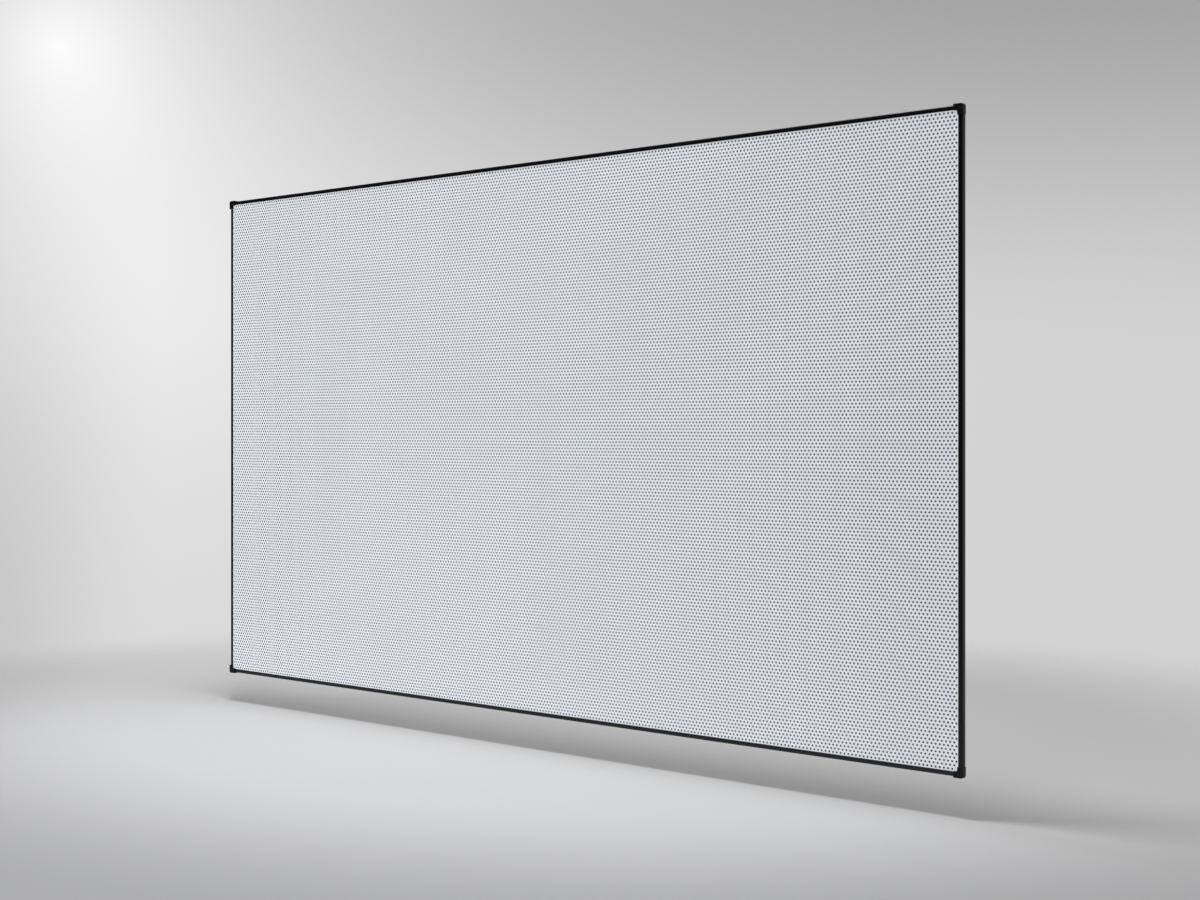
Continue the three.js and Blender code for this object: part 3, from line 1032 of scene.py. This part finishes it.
    def flap(self, side: Side) -> Piece:
        """One folded flap with its hem, slotted where the springs reach the rod.

        Args:
            side: The edge.

        Returns:
            The flap, dressed.
        """
        z, slack = self.sizes, self.slot_slack
        reach = z.length(side) / 2 - z.corner_notch
        piece = self.sweep(f"folded_flap_{side.word}", side, self.flap_loops(), reach)
        low, high = z.rod_u - z.hem_slack, z.rod_u + z.hem_radius + slack
        front, back = z.rod_d - z.hem_radius - slack, z.return_d + z.sheet + slack
        points, faces = [], []
        for s in self.stations.of(side):
            base = len(points)
            for end in (s - self.slot_width / 2, s + self.slot_width / 2):
                for u, d in ((low, front), (high, front), (high, back), (low, back)):
                    points.append(z.point(side, end, u, d))
            quads = ((0, 1, 2, 3), (7, 6, 5, 4), (0, 4, 5, 1), (1, 5, 6, 2), (2, 6, 7, 3), (3, 7, 4, 0))
            faces += [tuple(base + i for i in quad) for quad in quads]
        cutter = facing_out(mesh_object("slot_cutter", points, faces))
        cut = piece.modifiers.new("spring_slots", "BOOLEAN")
        cut.operation, cut.solver, cut.object = "DIFFERENCE", "EXACT", cutter
        made_plain(piece)
        bpy.data.objects.remove(cutter)
        return self.settle(shade(piece, self.CREASE), "sheet_vinyl", f"sheet_flap_{side.word}")

    def build(self) -> list[Piece]:
        """Returns:
            The pieces.
        """
        geo = self.lattice()
        fields = [self.band(geo, number) for number in range(self.bands)]
        flaps = {side: self.flap(side) for side in Side}
        margin = self.margin()
        return [*fields, margin, *flaps.values()]


@dataclass
class BackingCloth(SubAssembly):
    """The black cloth behind the sheet: stretched by its edges, with the soft ripples of a large cloth.

    The ripples are sines over the width and the height. Their sizes share no multiple, so no ripple repeats.
    """

    setback: float = 0.9
    ripple: float = 0.9
    columns: int = 150
    rows: int = 86
    flat_rim: float = 60.0
    easing: float = 200.0
    slow_waves: tuple[float, float, float] = (213.0, 190.0, 251.0)
    quick_waves: tuple[float, float] = (67.0, 140.0)
    bends: tuple[float, float] = (0.8, 1.3)
    slant: float = 0.7
    start: float = 0.5
    quick_share: float = 0.4
    rest: float = 1.4

    CREASE = 50.0

    def height_at(self, x: float, z: float, half_x: float, half_z: float) -> float:
        """How far the cloth bellies back at a point, in millimetres.

        Args:
            x: Place along the width.
            z: Place along the height.
            half_x: Half of the cloth's width.
            half_z: Half of its height.

        Returns:
            The depth, nothing at the rails.
        """
        ease = 1.0
        for inwards in (half_x - abs(x), half_z - abs(z)):
            ease *= min(1.0, max(0.0, (inwards - self.flat_rim) / self.easing))
        ease = ease * ease * (3 - 2 * ease)
        across, bending, upwards = self.slow_waves
        slow = math.sin(x / across + self.bends[0] * math.sin(z / bending))
        slow *= math.sin(z / upwards + self.start)
        slanted, bending = self.quick_waves
        quick = math.sin((x + self.slant * z) / slanted + self.bends[1] * math.sin(z / bending))
        return self.ripple * ease * (self.rest + slow + self.quick_share * quick)

    def build(self) -> list[Piece]:
        """Returns:
            The piece.
        """
        z = self.sizes
        inset = z.nose_u + self.setback
        half_x, half_z = z.width / 2 - inset, z.height / 2 - inset
        middle = z.front + z.cloth_d + z.cloth / 2
        points, faces = [], []
        for j in range(self.rows + 1):
            for i in range(self.columns + 1):
                x = half_x * (2 * i / self.columns - 1)
                h = half_z * (2 * j / self.rows - 1)
                points.append(Vector((x, middle + self.height_at(x, h, half_x, half_z), h)) * MM)
        for j in range(self.rows):
            for i in range(self.columns):
                a = j * (self.columns + 1) + i
                faces.append((a, a + 1, a + self.columns + 2, a + self.columns + 1))
        piece = mesh_object("backing_fabric", points, faces)
        thick = piece.modifiers.new("thickness", "SOLIDIFY")
        thick.thickness, thick.offset = z.cloth * MM, 0.0
        shade(facing_out(made_plain(piece)), self.CREASE)
        self.settle(piece, "cloth_black", "backing_cloth")
        return [piece]


@dataclass
class Tension(SubAssembly):
    """The rods in the hems, and the coil springs that pull them to the rails' ribs.

    loop_turn and hook_turn each hold the first angle, the last angle and the steps of a bend in the wire.
    """

    stations: Stations
    rod_shorter: float = 4.0
    rod_sides: int = 20
    rod_chamfer: float = 0.4
    coil_radius: float = 1.35
    coil_turns: int = 13
    coil_length: float = 12.0
    coil_steps: int = 10
    coil_from_rod: float = 6.0
    lead_in: float = 1.6
    lead_out: float = 1.4
    loop_turn: tuple[float, float, int] = (95, 290, 9)
    hook_radius: float = 0.9
    hook_slack: float = 0.3
    hook_turn: tuple[float, float, int] = (80, -60, 5)
    wire_radius: float = 0.32
    wire_sides: int = 5
    sink: float = 1.1

    def rod(self, side: Side) -> Piece:
        """One glass-fibre rod with chamfered ends.

        Args:
            side: The edge.

        Returns:
            The rod, dressed.
        """
        z, n, chamfer = self.sizes, self.rod_sides, self.rod_chamfer
        reach = z.length(side) / 2 - z.corner_notch - self.rod_shorter
        stops = [(-reach, z.rod_radius - chamfer), (-reach + chamfer, z.rod_radius)]
        stops += [(reach - chamfer, z.rod_radius), (reach, z.rod_radius - chamfer)]
        points, faces = [], []
        for s, radius in stops:
            for u, d in arc((z.rod_u, z.rod_d), radius, 0, 360, n)[:-1]:
                points.append(z.point(side, s, u, d))
        for ring in range(len(stops) - 1):
            for i in range(n):
                a, b = ring * n + i, ring * n + (i + 1) % n
                faces.append((a, b, b + n, a + n))
        faces += [tuple(range(n)), tuple(range(len(points) - n, len(points)))]
        piece = facing_out(mesh_object(f"rod_{side.word}", points, faces))
        shade(piece, self.CREASE)
        return self.settle(piece, "rod_glass_fibre", f"tension_rod_{side.word}")

    def centre_line(self) -> list[tuple[float, float, float]]:
        """The wire of one spring: a loop round the rod, the coil, and a hook through the rib.

        Returns:
            Points as (s, u, d).
        """
        z = self.sizes
        axis_d = z.rod_d - self.sink
        loop = arc((z.rod_u, z.rod_d), z.rod_radius + self.wire_radius, *self.loop_turn)
        start_u = z.rod_u + self.coil_from_rod
        steps = self.coil_turns * self.coil_steps
        line = [(0.0, u, d) for u, d in [*loop, (start_u - self.lead_in, axis_d)]]
        for i in range(steps + 1):
            turn = math.tau * i / self.coil_steps
            u = start_u + self.coil_length * i / steps
            line.append((self.coil_radius * math.sin(turn), u, axis_d + self.coil_radius * math.cos(turn)))
        hook_u = z.rib_u + z.rib + self.hook_slack
        tail = [(start_u + self.coil_length + self.lead_out, axis_d), (hook_u, axis_d)]
        hook = arc((hook_u, axis_d - self.hook_radius), self.hook_radius, *self.hook_turn)
        return line + [(0.0, u, d) for u, d in tail + hook]

    def springs_tree(self) -> GeometryTree:
        """The tree that thickens a centre line to wire and repeats it along an edge.

        Returns:
            The tree.
        """
        kinds = {"Step": "Vector", "Wire radius": "Float"}
        for word in ("First", "Second"):
            kinds |= {f"{word} count": "Int", f"{word} start": "Vector"}
        geo = GeometryTree("spring_row", kinds)
        given = geo.given
        line = geo.add("GeometryNodeMeshToCurve", {"Mesh": given["Geometry"]})
        circle = {"Resolution": self.wire_sides, "Radius": given["Wire radius"]}
        ring = geo.add("GeometryNodeCurvePrimitiveCircle", circle)
        tube = {"Curve": line, "Profile Curve": ring, "Fill Caps": True}
        wire = geo.add("GeometryNodeCurveToMesh", tube)
        smooth = geo.add("GeometryNodeSetShadeSmooth", {"Geometry": wire, "Shade Smooth": True})
        rows = []
        for word in ("First", "Second"):
            points = geo.line(given[f"{word} count"], given[f"{word} start"], given["Step"])
            rows.append(geo.copies(points, smooth))
        geo.close(geo.joined(*rows))
        return geo

    def springs(self, geo: GeometryTree, side: Side) -> Piece:
        """The springs of one edge, as one piece.

        Args:
            geo: The spring tree.
            side: The edge.

        Returns:
            The springs, dressed.
        """
        z = self.sizes
        runs = self.stations.runs(side)
        along = z.point(side, 1, 0, 0) - z.point(side, 0, 0, 0)
        points = [z.point(side, s, u, d) for s, u, d in self.centre_line()]
        wire = [(i, i + 1) for i in range(len(points) - 1)]
        piece = mesh_object(f"springs_{side.word}", points, [], wire)
        values: dict[str, object] = {
            "Step": tuple(along * runs[0][1]),
            "Wire radius": self.wire_radius * MM,
            "Material": self.palette.spring_wire,
            "Second count": 0,
            "Second start": (0.0, 0.0, 0.0),
        }
        for word, (start, _, count) in zip(("First", "Second"), runs):
            values |= {f"{word} count": count, f"{word} start": tuple(along * start)}
        geo.run(piece, values)
        return self.settle(
            piece, "plate_zinc", f"tension_rod_{side.word}", finish=self.palette.spring_wire
        )

    def build(self) -> list[Piece]:
        """Builds the rods and the springs.

        Returns:
            The pieces.
        """
        geo = self.springs_tree()
        made = [self.rod(side) for side in Side]
        return made + [self.springs(geo, side) for side in Side]


@dataclass
class Fittings(SubAssembly):
    """The rigid CAD nodes that stay: welded, flattened to true faces, softened at the edges and dressed."""

    # Slot, and the rounding of the edges in millimetres
    KINDS = {
        "corner_cap": ("cap_plastic", 0.55),
        "corner_bracket": ("plate_zinc", 0.25),
        "splice_plate": ("plate_zinc", 0.25),
        "support_shoe": ("shoe_nylon", 0.4),
        "support_bar": ("rail_black", 0.5),
        "rail": ("rail_black", 0.2),
        "wall_bracket": ("bracket_steel", 0.35),
        "wall_bumper": ("bumper_rubber", 0.8),
    }

    flat_within: float = 1.0
    sharp_from: float = 30.0
    round_steps: int = 2

    def soften(self, piece: Piece, width: float) -> None:
        """Adds modifiers that merge loose triangles and round the edges.

        Args:
            piece: The CAD node's object.
            width: The rounding in millimetres.
        """
        weld = piece.modifiers.new("weld", "WELD")
        weld.merge_threshold = WELD_GAP
        flat = piece.modifiers.new("true_faces", "DECIMATE")
        flat.decimate_type, flat.angle_limit = "DISSOLVE", math.radians(self.flat_within)
        soft = piece.modifiers.new("soft_edges", "BEVEL")
        soft.width, soft.segments = width * MM, self.round_steps
        soft.limit_method, soft.angle_limit = "ANGLE", math.radians(self.sharp_from)
        soft.harden_normals = True

    def build(self) -> list[Piece]:
        """Dresses every rigid node that stays.

        Returns:
            The nodes' objects.
        """
        made = []
        for name, piece in sorted(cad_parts.items()):
            kind = next((k for k in self.KINDS if name.startswith(k)), None)
            if kind is None:
                continue
            slot, width = self.KINDS[kind]
            piece.data.materials.clear()
            piece.data.materials.append(self.palette[slot])
            self.soften(piece, width)
            LOG.info("%s: dressed, %s", name, slot)
            made.append(piece)
        return made


@dataclass
class Screws(SubAssembly):
    """Button head screws with hexagon sockets, set where the solids' plain screws stand."""

    head_radius: float = 3.6
    head: float = 1.9
    dome_power: float = 2.4
    dome_drop: float = 0.75
    shank_radius: float = 2.0
    socket_radius: float = 1.35
    socket: float = 1.2
    shank_sides: int = 16
    head_sides: int = 24
    dome_rings: int = 5

    FAMILIES = ("corner_screw", "splice_screw", "support_screw")

    def tree(self) -> GeometryTree:
        """The tree that builds one screw and sets it on every point of the piece.

        Returns:
            The tree.
        """
        sizes = ("Head radius", "Head height", "Shank radius", "Shank length", "Socket radius")
        geo = GeometryTree("button_head_screws", dict.fromkeys((*sizes, "Socket depth"), "Float"))
        given = geo.given
        length = given["Shank length"]
        rod = {"Vertices": self.shank_sides, "Radius": given["Shank radius"], "Depth": length}
        down = geo.vector(Z=geo.maths("MULTIPLY", length, -0.5))
        shank = geo.moved(geo.add("GeometryNodeMeshCylinder", rod), Translation=down)
        screw = geo.moved(geo.joined(self.head_dome(geo), shank), Rotation=(-math.pi / 2, 0.0, 0.0))
        geo.close(geo.copies(given["Geometry"], screw))
        return geo

    def head_dome(self, geo: GeometryTree) -> Socket:
        """A domed head with a hexagon socket cut into it.

        Args:
            geo: The tree.

        Returns:
            The head, seated at height 0.
        """
        radius, height = geo.given["Head radius"], geo.given["Head height"]
        disc = {
            "Vertices": self.head_sides,
            "Side Segments": 1,
            "Fill Segments": self.dome_rings,
            "Radius": radius,
            "Depth": height,
        }
        parts = geo.split(geo.add("GeometryNodeInputPosition"))
        out = geo.measure("LENGTH", geo.vector(X=parts["X"], Y=parts["Y"]))
        falling = geo.maths("POWER", geo.maths("DIVIDE", out, radius), self.dome_power)
        fall = geo.maths("MULTIPLY", geo.maths("MULTIPLY", falling, -self.dome_drop), height)
        above = {"data_type": "FLOAT", "operation": "GREATER_THAN"}
        dome = {
            "Geometry": geo.add("GeometryNodeMeshCylinder", disc),
            "Selection": geo.add("FunctionNodeCompare", {0: parts["Z"], 1: 0.0}, **above),
            "Offset": geo.vector(Z=fall),
        }
        half_up = geo.vector(Z=geo.maths("MULTIPLY", height, 0.5))
        seated = geo.moved(geo.add("GeometryNodeSetPosition", dome), Translation=half_up)
        hexagon = {"Vertices": 6, "Radius": geo.given["Socket radius"], "Depth": geo.given["Socket depth"]}
        key = geo.moved(geo.add("GeometryNodeMeshCylinder", hexagon), Translation=geo.vector(Z=height))
        both = {"Mesh 1": seated, "Mesh 2": key}
        return geo.add("GeometryNodeMeshBoolean", both, operation="DIFFERENCE", solver="EXACT")

    def build(self) -> list[Piece]:
        """Sets the screws family by family.

        Returns:
            The pieces.
        """
        geo = self.tree()
        made = []
        for family in self.FAMILIES:
            nodes = sorted(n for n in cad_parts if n.startswith(f"{family}_"))
            seats = []
            for node in nodes:
                low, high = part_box(node)
                seats.append(Vector(((low.x + high.x) / 2, high.y - self.head * MM, (low.z + high.z) / 2)))
            low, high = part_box(nodes[0])
            piece = mesh_object(f"{family}s", seats, [])
            values = {
                "Head radius": self.head_radius * MM,
                "Head height": self.head * MM,
                "Shank radius": self.shank_radius * MM,
                "Shank length": high.y - low.y - self.head * MM,
                "Socket radius": self.socket_radius * MM,
                "Socket depth": 2 * self.socket * MM,
                "Material": self.palette["screw_steel"],
            }
            geo.run(piece, values)
            made.append(self.settle(shade(piece, self.CREASE), "screw_steel", *nodes))
        return made


# Camera, light and floor


@dataclass(frozen=True)
class Lamp:
    """One square soft lamp that looks at the screen's middle, with its place and side in metres."""

    name: str
    place: tuple[float, float, float]
    side: float
    watts: float
    mirrored: bool = True

    def hang(self) -> None:
        """Adds the lamp. One that is not mirrored lights the screen but leaves no image in its gloss."""
        data = bpy.data.lights.new(self.name, "AREA")
        data.size, data.energy = self.side, self.watts
        lamp = linked(self.name, data)
        lamp.location = self.place
        lamp.rotation_euler = (-Vector(self.place)).to_track_quat("-Z", "Y").to_euler()
        lamp.visible_camera = False
        lamp.visible_glossy = self.mirrored


@dataclass
class Studio:
    """A pale floor with painted light and shade, fading into a backdrop with painted shade and a painted
    glow, soft lamps, and the photograph's camera.

    Lengths are metres here, apart from drop, the room under the trim. The backdrop's tone depends only on
    the direction in the world: over_eye, leftwards and below each hold where a ramp of painted shade starts
    and stops and its tones there, darkening it overhead, to the far left and lower down. glow_from,
    glow_spread and glow_level place a painted glow of light to the upper left.
    """

    sizes: Sizes
    drop: float = 78.0
    floor_radius: float = 2.8
    floor_steps: int = 96
    floor_rim: float = 0.1
    # The floor's painted light and shade: its lit tone and its shaded tone
    painted_floor_tones: tuple[str, str] = ("c9c9ca", "a6a6a8")
    fade_start: float = 1.3
    # Where the floor's painted light is centred, and the distances over which it darkens to the shaded tone
    painted_pool_centre: tuple[float, float] = (-0.2, 1.0)
    painted_pool_span: tuple[float, float] = (1.6, 2.5)
    camera_place: tuple[float, float, float] = (2.853, -2.996, 0.024)
    camera_turn: float = 41.42
    sensor: float = 36.0
    lens: float = 54.3
    shift_up: float = -22 / 1200
    clip: tuple[float, float] = (0.05, 60.0)
    even_light: float = 0.35
    front_dim: tuple[float, float, float] = (-0.7, 0.5, 0.05)
    # Painted shade on the backdrop: overhead, to the far left and lower down
    over_eye: tuple[float, float, float, float] = (0.03, 0.26, 0.64, 0.34)
    leftwards: tuple[float, float, float, float] = (-0.815, -0.875, 1.0, 0.75)
    below: tuple[float, float, float, float] = (-0.14, -0.3, 1.0, 0.68)
    # A painted glow of light on the backdrop towards the upper left
    glow_from: tuple[float, float, float] = (-0.832, 0.518, 0.198)
    glow_spread: float = 0.14
    glow_level: float = 0.6

    LAMPS = (
        Lamp("overhead_lamp", (-0.2, -0.3, 3.4), 1.0, 112.0),
        Lamp("left_lamp", (-2.7, -2.8, 0.1), 1.4, 44.0, mirrored=False),
        Lamp("front_lamp", (1.4, -3.4, 0.0), 1.6, 30.0, mirrored=False),
    )

    def camera(self) -> None:
        """Sets the camera where the photograph was taken from, relative to the trim's front."""
        data = bpy.data.cameras.new("photo_camera")
        data.sensor_width, data.lens, data.shift_y = self.sensor, self.lens, self.shift_up
        data.clip_start, data.clip_end = self.clip
        camera = linked("photo_camera", data)
        x, y, z = self.camera_place
        camera.location = (x, y + self.sizes.front * MM, z)
        camera.rotation_euler = (math.radians(90), 0, math.radians(self.camera_turn))
        bpy.context.scene.camera = camera

    def floor(self) -> None:
        """Lays the floor, whose colour is painted lighter round a centre and darker farther out, as painted
        light and shade, and which fades out towards its rim.
        """
        bottom = -(self.sizes.height / 2 + self.drop) * MM
        steps = self.floor_steps
        points = [Vector((0, 0, bottom))]
        for i in range(steps):
            turn = math.tau * i / steps
            rim = (self.floor_radius * math.cos(turn), self.floor_radius * math.sin(turn))
            points.append(Vector((*rim, bottom)))
        faces = [(0, 1 + i, 1 + (i + 1) % steps) for i in range(steps)]
        piece = mesh_object("studio_floor", points, faces)
        piece.data.materials.append(self.floor_paint(bottom))

    def floor_paint(self, bottom: float) -> Material:
        """The floor's material.

        Args:
            bottom: Z of the floor in metres.

        Returns:
            The material.
        """
        material = bpy.data.materials.new("studio_floor_paint")
        material.use_nodes = True
        nodes = Nodes(material.node_tree)
        nodes.tree.nodes.clear()
        # Painted light and shade: the floor goes from its lit tone near the centre to its shaded tone
        # farther out
        from_painted_pool = nodes.measure("DISTANCE", nodes.place(), (*self.painted_pool_centre, bottom))
        away = nodes.measure("DISTANCE", nodes.place(), (0.0, 0.0, bottom))
        tone = nodes.blend(nodes.ramp(from_painted_pool, self.painted_pool_span), *self.painted_floor_tones)
        mixing = {
            0: nodes.ramp(away, (self.fade_start, self.floor_radius - self.floor_rim)),
            1: nodes.add("ShaderNodeBsdfDiffuse", {"Color": tone}),
            2: nodes.add("ShaderNodeBsdfTransparent"),
        }
        mixed = nodes.add("ShaderNodeMixShader", mixing)
        nodes.node("ShaderNodeOutputMaterial", {"Surface": mixed}).is_active_output = True
        return material

    def world(self) -> None:
        """Makes the backdrop: a pale tone with painted shade and a painted glow of light for the eye, and
        soft even light for the object.

        Gloss mirrors the backdrop too, but dimly where that backdrop stands in front of the screen.
        """
        world = bpy.data.worlds.new("studio_backdrop")
        world.use_nodes = True
        bpy.context.scene.world = world
        nodes = Nodes(world.node_tree)
        nodes.tree.nodes.clear()
        rays = nodes.node("ShaderNodeLightPath").outputs
        seen = nodes.maths("MAXIMUM", rays["Is Camera Ray"], rays["Is Glossy Ray"])
        view = nodes.place("Generated")
        loss = nodes.maths("SUBTRACT", nodes.ramp(nodes.split(view)["Y"], self.front_dim), 1.0)
        even = {"Color": linear("ffffff"), "Strength": self.even_light}
        pale = {
            "Color": self.backdrop(nodes, view),
            "Strength": nodes.maths("MULTIPLY_ADD", loss, rays["Is Glossy Ray"], 1.0),
        }
        mixing = {
            0: nodes.maths("MAXIMUM", seen, rays["Is Transmission Ray"]),
            1: nodes.add("ShaderNodeBackground", even),
            2: nodes.add("ShaderNodeBackground", pale),
        }
        nodes.node("ShaderNodeOutputWorld", {"Surface": nodes.add("ShaderNodeMixShader", mixing)})

    def backdrop(self, nodes: Nodes, view: Socket) -> Socket:
        """The backdrop's tone by direction: painted shade overhead, lower down and to the far left, with a
        painted glow of light to the upper left.

        Args:
            nodes: The world's nodes.
            view: The direction.

        Returns:
            The tone.
        """
        # Painted shade: the backdrop darkens overhead, to the far left and lower down
        ramps = (("Z", self.over_eye), ("X", self.leftwards), ("Z", self.below))
        parts = nodes.split(view)
        height, left, down = (nodes.ramp(parts[axis], span) for axis, span in ramps)
        wall = nodes.maths("MULTIPLY", height, nodes.maths("MULTIPLY", down, left))
        # Painted glow: a bright patch of light on the backdrop towards the upper left
        away = nodes.measure("DISTANCE", view, self.glow_from)
        fading = nodes.maths("EXPONENT", nodes.maths("MULTIPLY", away, -1 / self.glow_spread))
        return nodes.maths("MULTIPLY_ADD", fading, self.glow_level, wall)

    def build(self) -> None:
        """Sets up the camera, the floor, the backdrop and the lamps."""
        self.camera()
        self.floor()
        self.world()
        for lamp in self.LAMPS:
            lamp.hang()
        bpy.context.scene.view_settings.view_transform = "Standard"


def main() -> None:
    """Builds every sub-assembly in order and logs it."""
    logging.basicConfig(level=logging.INFO, format="%(name)s %(message)s")
    sizes = Sizes()
    stations = Stations(sizes)
    palette = Palette()
    Studio(sizes).build()
    made = [
        *Fittings(sizes, palette).build(),
        *BezelTrim(sizes, palette).build(),
        *PerforatedSheet(sizes, palette, stations).build(),
        *BackingCloth(sizes, palette).build(),
        *Tension(sizes, palette, stations).build(),
        *Screws(sizes, palette).build(),
    ]
    LOG.info("%d pieces dressed", len(made))


if __name__ == "__main__":
    main()
